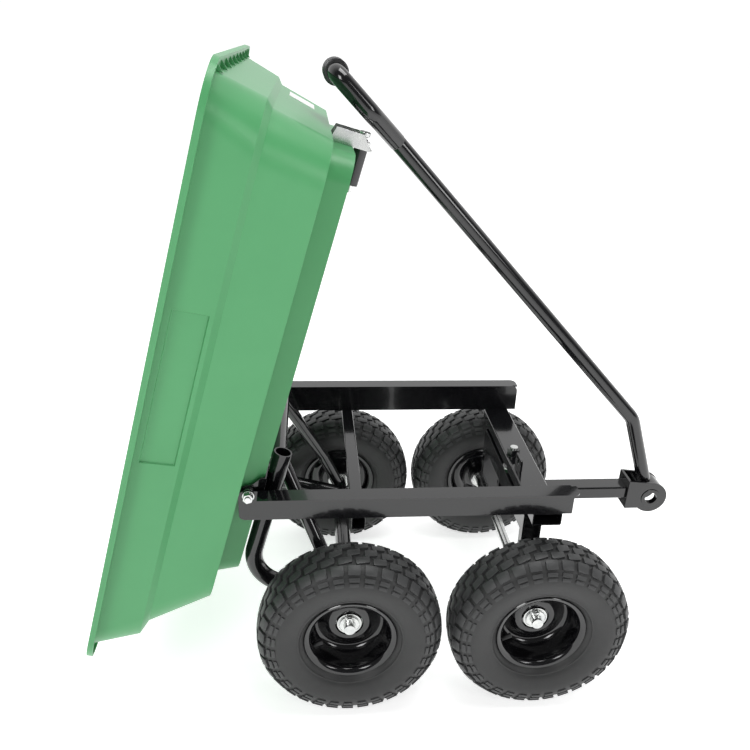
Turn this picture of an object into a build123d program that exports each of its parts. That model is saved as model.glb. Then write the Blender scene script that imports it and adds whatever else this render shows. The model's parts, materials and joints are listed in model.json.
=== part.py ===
from build123d import *
from math import cos, radians, sin
import os

# Four-wheeled garden cart with a tipping moulded tub. The tub stands on a tubular carrier that
# holds the rear axle. The carrier hangs from two pivots at the rear end of a pair of steel rails,
# and the rails hold the steered front axle. Tipping the tub swings the rear wheels in under it,
# up to the front wheels. All sizes are in mm, +X is forwards, +Y is the left side, +Z is up, and
# the ground is z = 0. The cart stands here with its tub fully tipped and its handle leaning back.

# ---- driving dimensions ----
tyre_radius = 130.0
tyre_half = 41.0
wheel_y = 203.0  # from the middle of the cart to the middle of each wheel
rear_axle_x = -89.0
wheelbase = 269.5  # with the tub tipped
axle_radius = 8.0
axle_end_y = 211.0
running_gap = 0.05  # radial, a shaft in a hole
side_gap = 0.15  # between faces that turn past each other

pivot_x = rear_axle_x - 137.5  # tub pivot, on the rails' rear ears
pivot_z = 324.5
tip_angle = 74.8  # the tub's floor to the rails
stud_radius = 4.0

rail_top = 331.2
rail_web_height = 45.6
rail_web_inner = 160.0
rail_sheet = 2.6
rail_flange = 22.8
rail_rear_x = pivot_x - 13.5
rail_front_x = rear_axle_x + 313.0
rail_ear_length = 26.0
ear_corner = 8.0
rail_corner = 10.0
crossbar_height = 20.0
crossbar_wall = 2.0
mid_bar_x = (rear_axle_x + 2.0, rear_axle_x + 21.0)
front_bar_x = (rear_axle_x + 258.0, rear_axle_x + 300.0)
catch_x = rear_axle_x + 266.0
catch_sheet = 3.0
catch_size = (30.0, 20.5)

tub_wall = 4.0
tub_rim = (-252.5, 523.5, 261.5, 52.0)  # rear, front, half width, corner radius
rim_z = (147.0, 151.0, 154.0)  # skirt's lower edge, lip's underside and top
rim_skirt = 3.5
# height over the pivot, rear end, front end, half width and corner radius of the outer wall
tub_base = ((-16.0, -146.0, 460.0, 149.0, 34.0), (16.0, -160.0, 460.0, 151.0, 35.0))
tub_body = (
    (16.0, -160.0, 473.0, 214.0, 52.0),
    (87.0, -209.0, 488.0, 230.0, 58.0),
    (96.0, -229.0, 498.0, 238.0, 60.0),
    (rim_z[2], -240.0, 510.0, 249.0, 46.0),
)
panel_x = (70.0, 266.0)  # recessed panel on each long side
panel_z = (99.5, 140.0)
panel_depth = 1.5
label_size = (62.0, 38.0)
label_place = (98.0, 55.0)  # across the front wall, and over the pivot

carrier_tube_radius = 12.5
carrier_tube_y = 136.0
carrier_tube_z = -31.5  # over the pivot, in the tub's own directions
carrier_front_x = 62.0
carrier_bend = 52.0
strut_radius = 10.0
strut_bend = 60.0
strut_top = (34.0, 86.0, -29.0)
strut_knee = (-92.0, 149.5, -136.0)
strut_foot_y = 160.0
cross_tube_radius = 11.0
axle_tube_radius = 13.0
axle_tube_half = 170.0
tube_wall = 2.0
bracket_sheet = 2.8
bracket_half = 28.0
bracket_width = 32.0
bracket_face_y = 156.5
bracket_top = 12.0
tub_bolt_radius = 3.0
bolt_head_radius = 7.0
bolt_head_height = 2.2

king_x = rear_axle_x + wheelbase
king_radius = 6.0
bolster_z = (230.0, 262.0)
bolster_leg_y = (117.0, 131.0)
channel_half = 14.0
channel_sheet = 3.0
arm_width = 30.0
arm_z = (209.0, 230.0)
arm_wall = 2.5

clevis_x = rear_axle_x + 503.0
clevis_z = 212.5
clevis_back_x = rear_axle_x + 462.0
clevis_back_z = (193.0, 244.0)
clevis_half = 20.0
clevis_sheet = 4.0
clevis_radius = 27.0
rivet_outer = 12.5
rivet_bore = 9.8
rivet_flange = 16.0
rivet_lip = 1.5

yoke_radius = 26.0
yoke_half = 15.8
yoke_sheet = 3.0
handle_radius = 11.0
handle_bend_at = (rear_axle_x + 455.0, 350.0)
handle_neck = (rear_axle_x + 62.0, 762.0)
handle_bend = 45.0
loop_radius = 11.5
loop_half = 46.0
loop_shoulder = 58.0  # from the neck, along the loop
grip_bend = 16.0
loop_bend = 24.0
loop_foot = (9.0, 4.0)
grip_centre = (rear_axle_x - 22.0, 848.0)
grip_radius = 16.0
grip_half = loop_half - grip_bend

latch_y = -40.0
latch_z = -28.2
barrel_radius = 9.0
barrel_x = (412.0, 457.2)
barrel_chamber = (418.0, 450.0, 7.0)
latch_plate_x = tub_base[0][2]
latch_plate_sheet = 2.7
latch_plate_y = (-62.0, -18.0)
latch_plate_z = (-40.0, 15.0)
latch_cheek = 18.0
latch_neck_radius = 6.0
latch_neck_x = 471.5
latch_nut_height = 6.4
plunger_radius = 4.0
plunger_x = (402.0, 480.5)
plunger_collar = 3.0
knob_x = (474.0, 480.5)
knob_radius = 7.0
spring_wire = 0.9
spring_turns = 6

pivot_nut = (13.0, 6.8)  # across flats, and height
pivot_washer_radius = 8.5
pivot_washer_sheet = 2.0
pivot_stud_tail = 9.0
king_nut_size = (18.0, 10.0)
king_washer_radius = 12.0
king_bolt_tail = 13.0
thrust_washer_radius = 14.0
latch_nut_flats = 19.0
latch_bolt_head = (10.0, 5.0)
bead_gap = 0.1

rim_seat = 57.0  # radius of the rim's barrel outside
rim_lip = 64.0
rim_half = 25.5
rim_sheet = 2.2
hub_face_radius = 29.0
hub_face_u = -5.0  # outboard of the wheel's middle
hub_inner_u = -30.0
bearing_radius = 17.5
hub_wall = 3.0
bearing_width = 10.0
bearing_groove = (15.5, 14.2, 0.8)  # outer and inner radius, and depth
washer_sheet = 2.4
washer_radius = 14.0
pin_radius = 1.6
pin_y = 204.5
pin_eye = 4.0
valve_angle = 205.0
valve_radius = 3.6
valve_root = 60.0
valve_length = 19.0
valve_u = 9.0
tube_centre = 91.0
tube_section = (27.0, 25.0)

# ---- the tub's own directions, tipped about its pivots ----
tip = radians(tip_angle)
along_tub = Vector(cos(tip), 0, sin(tip))
over_tub = Vector(-sin(tip), 0, cos(tip))
tub_plane = Plane(origin=(pivot_x, 0, pivot_z), x_dir=along_tub, z_dir=over_tub)
rear_axle_local = tub_plane.to_local_coords(Vector(rear_axle_x, 0, tyre_radius))
handle_run = Vector(grip_centre[0] - handle_neck[0], 0, grip_centre[1] - handle_neck[1])
neck_point = Vector(handle_neck[0], 0, handle_neck[1])
loop_plane = Plane(origin=neck_point, x_dir=(0, 1, 0), z_dir=handle_run.cross(Vector(0, -1, 0)))
sides = ((-1, "right"), (1, "left"))


def in_tub(x, y, z):
    """A point given along the tub, across it and over its floor, counted from the pivot line."""
    return tub_plane.from_local_coords((x, y, z))


def tub_side(x, y, z):
    """The plane that looks out of the tub's right side at a point: its x runs along the tub."""
    return Plane(origin=in_tub(x, y, z), x_dir=along_tub, z_dir=(0, -1, 0))


def tub_front(x, y, z):
    """The plane across the tub at a point: its normal points to the tub's front."""
    return Plane(origin=in_tub(x, y, z), x_dir=(0, 1, 0), z_dir=along_tub)


def right_face(x, y, z):
    """An upright plane whose normal points to the cart's right side: x forwards and y upwards."""
    return Plane(origin=(x, y, z), x_dir=(1, 0, 0), z_dir=(0, -1, 0))


def save(part, name):
    """Names a finished piece and writes it to its file."""
    part.label = name
    export_step(part, f"parts/{name}.step")


def round_bar(plane, radius, amount, both=False, bore=0.0, mode=Mode.ADD):
    """A round bar or tube that stands on a plane, added to the piece in hand or cut from it."""
    with BuildSketch(plane) as section:
        Circle(radius)
        if bore:
            Circle(bore, mode=Mode.SUBTRACT)
    extrude(section.sketch, amount=amount, both=both, mode=mode)


def hex_bar(plane, across_flats, amount, bore=0.0):
    """A hexagon nut or bolt head that stands on a plane."""
    with BuildSketch(plane) as section:
        RegularPolygon(across_flats / 2, 6, major_radius=False)
        if bore:
            Circle(bore, mode=Mode.SUBTRACT)
    extrude(section.sketch, amount=amount)


def bent_tube(points, bend, radius, wall):
    """A round tube along a path with rounded corners."""
    with BuildLine() as path:
        FilletPolyline(*points, radius=bend)
    with BuildSketch(Plane(origin=path.line @ 0, z_dir=path.line % 0)) as ring:
        Circle(radius)
        if wall:
            Circle(radius - wall, mode=Mode.SUBTRACT)
    sweep(ring.sketch, path=path.line)


def turned(points, centre):
    """Turns a profile of (radius, offset to the left) points about the cross axis through centre."""
    with BuildSketch(Plane(origin=centre, x_dir=(1, 0, 0), z_dir=(0, 0, 1))) as section:
        with BuildLine():
            Polyline(*points, close=True)
        make_face()
    revolve(section.sketch, axis=Axis(centre, (0, 1, 0)))


os.makedirs("parts", exist_ok=True)


# ---- tub: base, body and rim as one moulding ----
def tub_outline(z, rear, front, half, radius):
    """A level outline of the tub, as a rounded rectangle in the tub's own directions."""
    with BuildSketch(tub_plane.offset(z)) as outline:
        with Locations(((rear + front) / 2, 0)):
            RectangleRounded(front - rear, 2 * half, radius)
    return outline.sketch


def tub_shell(levels, inset, lift, mode):
    """Lofts the tub's wall through its levels, drawn in by inset and raised by lift."""
    for low, high in zip(levels, levels[1:]):
        sections = [
            tub_outline(z + lift, rear + inset, front - inset, half - inset, radius - inset)
            for z, rear, front, half, radius in (low, high)
        ]
        loft(sections=sections, mode=mode)


with BuildPart() as tub:
    tub_shell(tub_base, 0, 0, Mode.ADD)
    tub_shell(tub_body, 0, 0, Mode.ADD)
    rear, front, half, radius = tub_rim
    with BuildSketch(tub_plane.offset(rim_z[0])):
        with Locations(((rear + front) / 2, 0)):
            RectangleRounded(front - rear, 2 * half, radius)
            RectangleRounded(
                front - rear - 2 * rim_skirt, 2 * (half - rim_skirt), radius - rim_skirt, mode=Mode.SUBTRACT
            )
    extrude(amount=rim_z[2] - rim_z[0])
    with BuildSketch(tub_plane.offset(rim_z[1])):
        with Locations(((rear + front) / 2, 0)):
            RectangleRounded(front - rear - rim_skirt, 2 * half - rim_skirt, radius - rim_skirt / 2)
    extrude(amount=rim_z[2] - rim_z[1])
    tub_shell(tub_base, tub_wall, tub_wall, Mode.SUBTRACT)
    tub_shell(tub_body, tub_wall, tub_wall, Mode.SUBTRACT)
    wall_low, wall_high = tub_body[-2], tub_body[-1]
    side_lean = (wall_high[3] - wall_low[3]) / (wall_high[0] - wall_low[0])
    panel_middle = ((panel_x[0] + panel_x[1]) / 2, (panel_z[0] + panel_z[1]) / 2)
    panel_y = wall_low[3] + side_lean * (panel_middle[1] - wall_low[0])
    for side, _ in sides:
        out = Vector(0, side, 0) - over_tub * side_lean
        panel_point = in_tub(panel_middle[0], side * panel_y, panel_middle[1])
        panel_plane = Plane(origin=panel_point, x_dir=along_tub, z_dir=out)
        with BuildSketch(panel_plane.offset(-panel_depth)):
            RectangleRounded(panel_x[1] - panel_x[0], panel_z[1] - panel_z[0], 2)
        extrude(amount=2 * panel_depth, mode=Mode.SUBTRACT)
    with BuildSketch(tub_plane.offset(tub_base[0][0])):
        with Locations((0, -carrier_tube_y), (0, carrier_tube_y)):
            Circle(tub_bolt_radius)
    extrude(amount=tub_wall, mode=Mode.SUBTRACT)
    latch_bolt_spots = ((latch_plate_y[0] + 12, 5), (latch_plate_y[1] - 12, 5))
    for bolt_y, bolt_z in latch_bolt_spots:
        round_bar(tub_front(latch_plate_x, bolt_y, bolt_z), tub_bolt_radius, -tub_wall, mode=Mode.SUBTRACT)
save(tub.part, "tub")

wall_low, wall_high = tub_body[0], tub_body[1]
front_lean = (wall_high[2] - wall_low[2]) / (wall_high[0] - wall_low[0])
label_y, label_z = label_place
label_x = wall_low[2] + front_lean * (label_z - wall_low[0])
label_out = along_tub - over_tub * front_lean
label_plane = Plane(origin=in_tub(label_x, label_y, label_z), x_dir=(0, 1, 0), z_dir=label_out)
with BuildPart() as tub_label:
    with BuildSketch(label_plane):
        RectangleRounded(*label_size, 3)
    extrude(amount=0.6)
save(tub_label.part, "tub_label")


# ---- carrier under the tub: bent side tubes, struts, cross tube and rear axle ----
axle_line = right_face(rear_axle_x, 0, tyre_radius)
cross_tube_line = tub_side(strut_top[0], 0, carrier_tube_z)
plate_z = carrier_tube_z + carrier_tube_radius
for side, side_name in sides:
    y = side * carrier_tube_y
    with BuildPart() as carrier_tube:
        tube_points = [
            in_tub(carrier_front_x, y, carrier_tube_z),
            in_tub(rear_axle_local.X, y, carrier_tube_z),
            in_tub(rear_axle_local.X, y, rear_axle_local.Z),
        ]
        bent_tube(tube_points, carrier_bend, carrier_tube_radius, tube_wall)
        round_bar(axle_line, axle_tube_radius, axle_tube_half, both=True, mode=Mode.SUBTRACT)
    save(carrier_tube.part, f"carrier_tube_{side_name}")

    with BuildPart() as carrier_strut:
        strut_points = [
            in_tub(strut_top[0], side * strut_top[1], strut_top[2]),
            in_tub(strut_knee[0], side * strut_knee[1], strut_knee[2]),
            in_tub(rear_axle_local.X, side * strut_foot_y, rear_axle_local.Z),
        ]
        bent_tube(strut_points, strut_bend, strut_radius, tube_wall)
        round_bar(axle_line, axle_tube_radius, axle_tube_half, both=True, mode=Mode.SUBTRACT)
        round_bar(cross_tube_line, cross_tube_radius, carrier_tube_y, both=True, mode=Mode.SUBTRACT)
    save(carrier_strut.part, f"carrier_strut_{side_name}")

    with BuildPart() as pivot_bracket:
        with BuildSketch(tub_plane.offset(plate_z)):
            with Locations((0, side * (bracket_face_y - bracket_width / 2))):
                Rectangle(2 * bracket_half, bracket_width)
            with Locations((0, y)):
                Circle(tub_bolt_radius, mode=Mode.SUBTRACT)
        extrude(amount=bracket_sheet)
        with BuildSketch(tub_side(0, side * (bracket_face_y - bracket_sheet / 2), 0)):
            with BuildLine():
                Polyline(
                    (-bracket_top, 0), (-bracket_half, plate_z + 8), (-bracket_half, plate_z),
                    (bracket_half, plate_z), (bracket_half, plate_z + 8), (bracket_top, 0),
                )
                ThreePointArc((bracket_top, 0), (0, bracket_top), (-bracket_top, 0))
            make_face()
        extrude(amount=bracket_sheet / 2, both=True)
        stud_seat = tub_side(0, side * (bracket_face_y - bracket_sheet), 0)
        round_bar(stud_seat, stud_radius, -side * bracket_sheet, mode=Mode.SUBTRACT)
    save(pivot_bracket.part, f"pivot_bracket_{side_name}")

with BuildPart() as carrier_cross_tube:
    bore = cross_tube_radius - tube_wall
    round_bar(cross_tube_line, cross_tube_radius, carrier_tube_y, both=True, bore=bore)
    for side, _ in sides:
        side_tube_line = tub_front(0, side * carrier_tube_y, carrier_tube_z)
        round_bar(side_tube_line, carrier_tube_radius, 100, mode=Mode.SUBTRACT)
save(carrier_cross_tube.part, "carrier_cross_tube")

with BuildPart() as rear_axle_tube:
    round_bar(axle_line, axle_tube_radius, axle_tube_half, both=True, bore=axle_radius)
save(rear_axle_tube.part, "rear_axle_tube")

with BuildPart() as tub_bolts:
    for side, _ in sides:
        spot = (0, side * carrier_tube_y)
        with BuildSketch(tub_plane.offset(plate_z)):
            with Locations(spot):
                Circle(tub_bolt_radius)
        extrude(amount=tub_base[0][0] + tub_wall - plate_z)
        with BuildSketch(tub_plane.offset(tub_base[0][0] + tub_wall)):
            with Locations(spot):
                Circle(bolt_head_radius)
        extrude(amount=bolt_head_height)
save(tub_bolts.part, "tub_bolts")

# ---- tub pivots: welded studs through the rails' ears ----
ear_inner = rail_web_inner
ear_outer = rail_web_inner + rail_sheet
outer_washer_y = (ear_outer + side_gap, ear_outer + side_gap + pivot_washer_sheet)
stud_end_y = outer_washer_y[1] + pivot_stud_tail
with BuildPart() as pivot_studs:
    for side, _ in sides:
        stud_plane = tub_side(0, side * (bracket_face_y - bracket_sheet), 0)
        round_bar(stud_plane, stud_radius, -side * (stud_end_y - bracket_face_y + bracket_sheet))
save(pivot_studs.part, "pivot_studs")

with BuildPart() as pivot_washers:
    for side, _ in sides:
        inner_y = (bracket_face_y, ear_inner - side_gap)
        for start, end in (inner_y, outer_washer_y):
            washer_face = tub_side(0, side * start, 0)
            round_bar(washer_face, pivot_washer_radius, -side * (end - start), bore=stud_radius)
save(pivot_washers.part, "pivot_washers")

with BuildPart() as pivot_nuts:
    for side, _ in sides:
        nut_face = tub_side(0, side * outer_washer_y[1], 0)
        hex_bar(nut_face, pivot_nut[0], -side * pivot_nut[1], bore=stud_radius)
save(pivot_nuts.part, "pivot_nuts")


# ---- rails, crossbars, catch and king bolt ----
rail_bottom = rail_top - rail_web_height
for side, side_name in sides:
    with BuildPart() as rail:
        web_middle = right_face(0, side * (rail_web_inner + rail_sheet / 2), 0)
        with BuildSketch(web_middle) as web:
            with BuildLine():
                Polyline(
                    (rail_rear_x, rail_bottom), (rail_front_x, rail_bottom),
                    (rail_front_x, rail_top), (rail_rear_x, rail_top), close=True,
                )
            make_face()
            rear_corners = web.vertices().group_by(Axis.X)[0]
            fillet(rear_corners, ear_corner)
            front_corner = web.vertices().group_by(Axis.X)[-1].sort_by(Axis.Z)[0]
            fillet(front_corner, rail_corner)
        extrude(amount=rail_sheet / 2, both=True)
        flange_rear = rail_rear_x + rail_ear_length
        flange_middle_y = side * (ear_outer + rail_flange / 2)
        with BuildSketch(Plane.XY.offset(rail_top - rail_sheet)) as flange:
            with Locations(((flange_rear + rail_front_x) / 2, flange_middle_y)):
                Rectangle(rail_front_x - flange_rear, rail_flange)
            outer_corner = flange.vertices().group_by(Axis.X)[-1].sort_by(Axis.Y)[-1 if side > 0 else 0]
            fillet(outer_corner, rail_corner)
        extrude(amount=rail_sheet)
        hole_plane = right_face(pivot_x, side * ear_inner, pivot_z)
        round_bar(hole_plane, stud_radius + running_gap, -side * rail_sheet, mode=Mode.SUBTRACT)
    save(rail.part, f"rail_{side_name}")

for (bar_rear, bar_front), bar_name in ((mid_bar_x, "crossbar_mid"), (front_bar_x, "crossbar_front")):
    with BuildPart() as crossbar:
        with BuildSketch(right_face((bar_rear + bar_front) / 2, 0, rail_bottom - crossbar_height / 2)):
            RectangleRounded(bar_front - bar_rear, crossbar_height, 2.5)
            hollow_width = bar_front - bar_rear - 2 * crossbar_wall
            RectangleRounded(hollow_width, crossbar_height - 2 * crossbar_wall, 1, mode=Mode.SUBTRACT)
        extrude(amount=ear_outer - 1, both=True)
        if bar_name == "crossbar_front":
            king_hole = Plane(origin=(king_x, 0, rail_bottom))
            round_bar(king_hole, king_radius, -crossbar_height, mode=Mode.SUBTRACT)
    save(crossbar.part, bar_name)

with BuildPart() as latch_catch:
    tab_middle = (catch_x, latch_y, rail_bottom + catch_size[1] / 2)
    with BuildSketch(Plane(origin=tab_middle, x_dir=(0, 1, 0), z_dir=(1, 0, 0))):
        RectangleRounded(*catch_size, 4)
    extrude(amount=catch_sheet)
    nose_hole = Plane(origin=(catch_x, latch_y, pivot_z + latch_z), z_dir=(1, 0, 0))
    round_bar(nose_hole, plunger_radius + 0.6, catch_sheet, mode=Mode.SUBTRACT)
save(latch_catch.part, "latch_catch")

crossbar_bottom = rail_bottom - crossbar_height
king_head = (bolster_z[1] - channel_sheet - side_gap, 7.5)
king_washer_top = rail_bottom + washer_sheet
with BuildPart() as king_bolt:
    hex_bar(Plane(origin=(king_x, 0, king_head[0])), king_nut_size[0], -king_head[1])
    king_bolt_length = king_washer_top + king_bolt_tail - king_head[0]
    round_bar(Plane(origin=(king_x, 0, king_head[0])), king_radius, king_bolt_length)
save(king_bolt.part, "king_bolt")

with BuildPart() as king_nut:
    round_bar(Plane(origin=(king_x, 0, rail_bottom)), king_washer_radius, washer_sheet, bore=king_radius)
    hex_bar(Plane(origin=(king_x, 0, king_washer_top)), *king_nut_size, bore=king_radius)
save(king_nut.part, "king_nut")

with BuildPart() as king_thrust_washer:
    thrust_plane = Plane(origin=(king_x, 0, bolster_z[1] + side_gap))
    thrust_height = crossbar_bottom - bolster_z[1] - side_gap
    round_bar(thrust_plane, thrust_washer_radius, thrust_height, bore=king_radius)
save(king_thrust_washer.part, "king_thrust_washer")


# ---- front axle: bolster, steering arm, clevis and axle ----
front_axle_line = right_face(king_x, 0, tyre_radius)
leg_foot_z = tyre_radius - channel_half
with BuildPart() as front_bolster:
    beam_height = bolster_z[1] - bolster_z[0]
    with BuildSketch(right_face(king_x, 0, sum(bolster_z) / 2)):
        Rectangle(2 * channel_half, beam_height)
        with Locations((0, -channel_sheet)):
            Rectangle(2 * (channel_half - channel_sheet), beam_height, mode=Mode.SUBTRACT)
    extrude(amount=bolster_leg_y[1], both=True)
    for side, _ in sides:
        leg_width = bolster_leg_y[1] - bolster_leg_y[0]
        with BuildSketch(Plane.XY.offset(leg_foot_z)):
            with Locations((king_x, side * sum(bolster_leg_y) / 2)):
                Rectangle(2 * channel_half, leg_width)
            with Locations((king_x, side * (sum(bolster_leg_y) / 2 + channel_sheet))):
                Rectangle(2 * (channel_half - channel_sheet), leg_width, mode=Mode.SUBTRACT)
        extrude(amount=bolster_z[1] - leg_foot_z - channel_sheet)
    round_bar(front_axle_line, axle_radius, bolster_leg_y[1], both=True, mode=Mode.SUBTRACT)
    king_hole = Plane(origin=(king_x, 0, bolster_z[1]))
    round_bar(king_hole, king_radius + running_gap, -channel_sheet, mode=Mode.SUBTRACT)
save(front_bolster.part, "front_bolster")

with BuildPart() as steering_arm:
    arm_rear_x = king_x - channel_half
    arm_height = arm_z[1] - arm_z[0]
    with BuildSketch(Plane(origin=(arm_rear_x, 0, sum(arm_z) / 2), x_dir=(0, 1, 0), z_dir=(1, 0, 0))):
        RectangleRounded(arm_width, arm_height, 3)
        RectangleRounded(arm_width - 2 * arm_wall, arm_height - 2 * arm_wall, 1, mode=Mode.SUBTRACT)
    extrude(amount=clevis_back_x - arm_rear_x)
save(steering_arm.part, "steering_arm")

with BuildPart() as clevis:
    back_middle = (clevis_back_x, 0, sum(clevis_back_z) / 2)
    with BuildSketch(Plane(origin=back_middle, x_dir=(0, 1, 0), z_dir=(1, 0, 0))):
        Rectangle(2 * clevis_half, clevis_back_z[1] - clevis_back_z[0])
    extrude(amount=clevis_sheet)
    for side, _ in sides:
        with BuildSketch(right_face(0, side * (clevis_half - clevis_sheet / 2), 0)):
            with Locations((clevis_x, clevis_z)):
                Circle(clevis_radius)
            with BuildLine():
                Polyline(
                    (clevis_back_x, clevis_back_z[0]), (clevis_x, clevis_back_z[0]),
                    (clevis_x, clevis_z + clevis_radius), (clevis_back_x + clevis_sheet, clevis_back_z[1]),
                    (clevis_back_x, clevis_back_z[1]), close=True,
                )
            make_face()
            with Locations((clevis_x, clevis_z)):
                Circle(rivet_outer, mode=Mode.SUBTRACT)
        extrude(amount=clevis_sheet / 2, both=True)
save(clevis.part, "clevis")

with BuildPart() as clevis_rivets:
    inner_y = yoke_half - yoke_sheet - side_gap
    for side, _ in sides:
        start = right_face(clevis_x, side * (inner_y - rivet_lip), clevis_z)
        length = clevis_half + 2 * rivet_lip - inner_y
        round_bar(start, rivet_outer, -side * length, bore=rivet_bore)
        round_bar(start, rivet_flange, -side * rivet_lip, bore=rivet_bore)
        outer_face = right_face(clevis_x, side * clevis_half, clevis_z)
        round_bar(outer_face, rivet_flange, -side * rivet_lip, bore=rivet_bore)
save(clevis_rivets.part, "clevis_rivets")

wheel_inner_y = wheel_y + hub_inner_u
with BuildPart() as front_axle_sleeves:
    for side, _ in sides:
        start = bolster_leg_y[0] + channel_sheet
        sleeve_plane = right_face(king_x, side * start, tyre_radius)
        length = wheel_inner_y - side_gap - start
        round_bar(sleeve_plane, channel_half - channel_sheet, -side * length, bore=axle_radius)
save(front_axle_sleeves.part, "front_axle_sleeves")


# ---- both axles: rods, washers and cotter pins ----
hub_outer_y = wheel_y + hub_face_u
washer_y = (hub_outer_y + side_gap, hub_outer_y + side_gap + washer_sheet)
axles = ((rear_axle_x, "rear", axle_tube_half), (king_x, "front", 0))
for axle_x, axle_name, tube_end_y in axles:
    with BuildPart() as axle_rod:
        round_bar(right_face(axle_x, 0, tyre_radius), axle_radius, axle_end_y, both=True)
        for side, _ in sides:
            pin_plane = Plane(origin=(axle_x, side * pin_y, tyre_radius))
            round_bar(pin_plane, pin_radius, 2 * axle_radius, both=True, mode=Mode.SUBTRACT)
    save(axle_rod.part, f"{axle_name}_axle_rod")

    with BuildPart() as axle_washers:
        for side, _ in sides:
            rings = [washer_y]
            if tube_end_y:
                rings.append((tube_end_y, wheel_inner_y - side_gap))
            for start, end in rings:
                ring_plane = right_face(axle_x, side * start, tyre_radius)
                round_bar(ring_plane, washer_radius, -side * (end - start), bore=axle_radius)
    save(axle_washers.part, f"{axle_name}_axle_washers")

    with BuildPart() as cotter_pins:
        for side, _ in sides:
            pin_foot = Plane(origin=(axle_x, side * pin_y, tyre_radius - axle_radius - pin_eye))
            round_bar(pin_foot, pin_radius, 2 * axle_radius + 1.2 * pin_eye)
            eye_plane = right_face(axle_x, side * pin_y, tyre_radius + axle_radius + pin_eye)
            round_bar(eye_plane, pin_eye, 0.8 * pin_radius, both=True, bore=pin_eye / 2)
    save(cotter_pins.part, f"{axle_name}_cotter_pins")


# ---- wheels ----
tyre_outside = (
    (22.2, 58.4), (24.6, 63.5), (29.5, 68.5), (37.0, 78.0), (tyre_half, 97.0), (37.5, 114.0),
    (27.0, 126.0), (0.0, tyre_radius),
)
tyre_inside = (
    (15.0, 58.5), (16.0, 64.0), (30.0, 78.0), (34.5, 97.0), (31.0, 111.0), (22.0, 119.0), (0.0, 122.5),
)


def tyre_half_profile(centre, outboard):
    """Turns one tyre, with rounded sidewalls and beads that sit on the rim's barrel."""
    plane = Plane(origin=centre, x_dir=(0, outboard, 0), z_dir=(-outboard, 0, 0))
    outside = [Vector(u, r) for u, r in tyre_outside]
    inside = [Vector(u, r) for u, r in tyre_inside]
    with BuildSketch(plane) as section:
        with BuildLine():
            Spline(*outside, tangents=[(0.2, 1), (-1, 0)])
            Spline(*inside, tangents=[(0.2, 1), (-1, 0)])
            Line(inside[0], (15.0, rim_seat + bead_gap))
            Line((15.0, rim_seat + bead_gap), (19.8, rim_seat + bead_gap))
            Line((19.8, rim_seat + bead_gap), outside[0])
            Line(outside[-1], inside[-1])
        make_face()
        mirror(about=Plane.YZ)
    revolve(section.sketch, axis=Axis(centre, (0, 1, 0)))


rim_outline = (
    (rim_seat, -20.0), (rim_seat + 1.5, -23.0), (rim_lip, -rim_half), (rim_lip, -rim_half - rim_sheet),
    (rim_seat - 1.5, -rim_half), (rim_seat - rim_sheet, -20.0), (rim_seat - rim_sheet, -8.0),
    (50.0, -15.5), (44.0, -17.5), (38.0, -16.0), (33.0, -11.0), (hub_face_radius, hub_face_u - rim_sheet),
    (bearing_radius + hub_wall, hub_face_u - rim_sheet), (bearing_radius + hub_wall, hub_inner_u),
    (bearing_radius, hub_inner_u), (bearing_radius, hub_face_u), (hub_face_radius, hub_face_u),
    (34.5, -9.5), (39.5, -14.0), (44.5, -15.2), (50.0, -12.8), (rim_seat - rim_sheet, -5.0),
    (rim_seat - rim_sheet, 20.0), (rim_seat - 1.5, rim_half), (rim_lip, rim_half + rim_sheet),
    (rim_lip, rim_half), (rim_seat + 1.5, 23.0), (rim_seat, 20.0),
)
wheels = [
    (axle_x, side, f"{axle_name}_{side_name}")
    for axle_x, axle_name, _ in axles
    for side, side_name in sides
]
for axle_x, side, wheel_name in wheels:
    centre = (axle_x, side * wheel_y, tyre_radius)
    with BuildPart() as tyre:
        tyre_half_profile(centre, side)
    save(tyre.part, f"tyre_{wheel_name}")

    valve_turn = radians(valve_angle)
    valve_dir = Vector(cos(valve_turn), 0, sin(valve_turn))
    valve_base = Vector(axle_x, side * (wheel_y + valve_u), tyre_radius) + valve_dir * valve_root
    valve_plane = Plane(origin=valve_base, z_dir=valve_dir * -1)
    with BuildPart() as rim:
        turned([(r, side * u) for r, u in rim_outline], centre)
        round_bar(valve_plane, valve_radius, 8, mode=Mode.SUBTRACT)
    save(rim.part, f"rim_{wheel_name}")

    with BuildPart() as inner_tube:
        with BuildSketch(Plane(origin=centre, x_dir=(0, side, 0), z_dir=(-side, 0, 0))) as section:
            with Locations((0, tube_centre)):
                Ellipse(*tube_section)
                Ellipse(tube_section[0] - tube_wall, tube_section[1] - tube_wall, mode=Mode.SUBTRACT)
        revolve(section.sketch, axis=Axis(centre, (0, 1, 0)))
        round_bar(valve_plane, valve_radius, valve_length)
        round_bar(valve_plane, valve_radius, valve_root - tube_centre + tube_section[1] - tube_wall / 2)
    save(inner_tube.part, f"inner_tube_{wheel_name}")

    with BuildPart() as hub_bearings:
        for start in (hub_inner_u, hub_face_u - bearing_width):
            bearing_plane = right_face(axle_x, side * (wheel_y + start), tyre_radius)
            round_bar(bearing_plane, bearing_radius, -side * bearing_width, bore=axle_radius + running_gap)
            face_u = hub_inner_u if start == hub_inner_u else hub_face_u
            face_plane = right_face(axle_x, side * (wheel_y + face_u), tyre_radius)
            groove = side * bearing_groove[2] if face_u == hub_face_u else -side * bearing_groove[2]
            round_bar(face_plane, bearing_groove[0], groove, bore=bearing_groove[1], mode=Mode.SUBTRACT)
    save(hub_bearings.part, f"hub_bearings_{wheel_name}")


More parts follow.
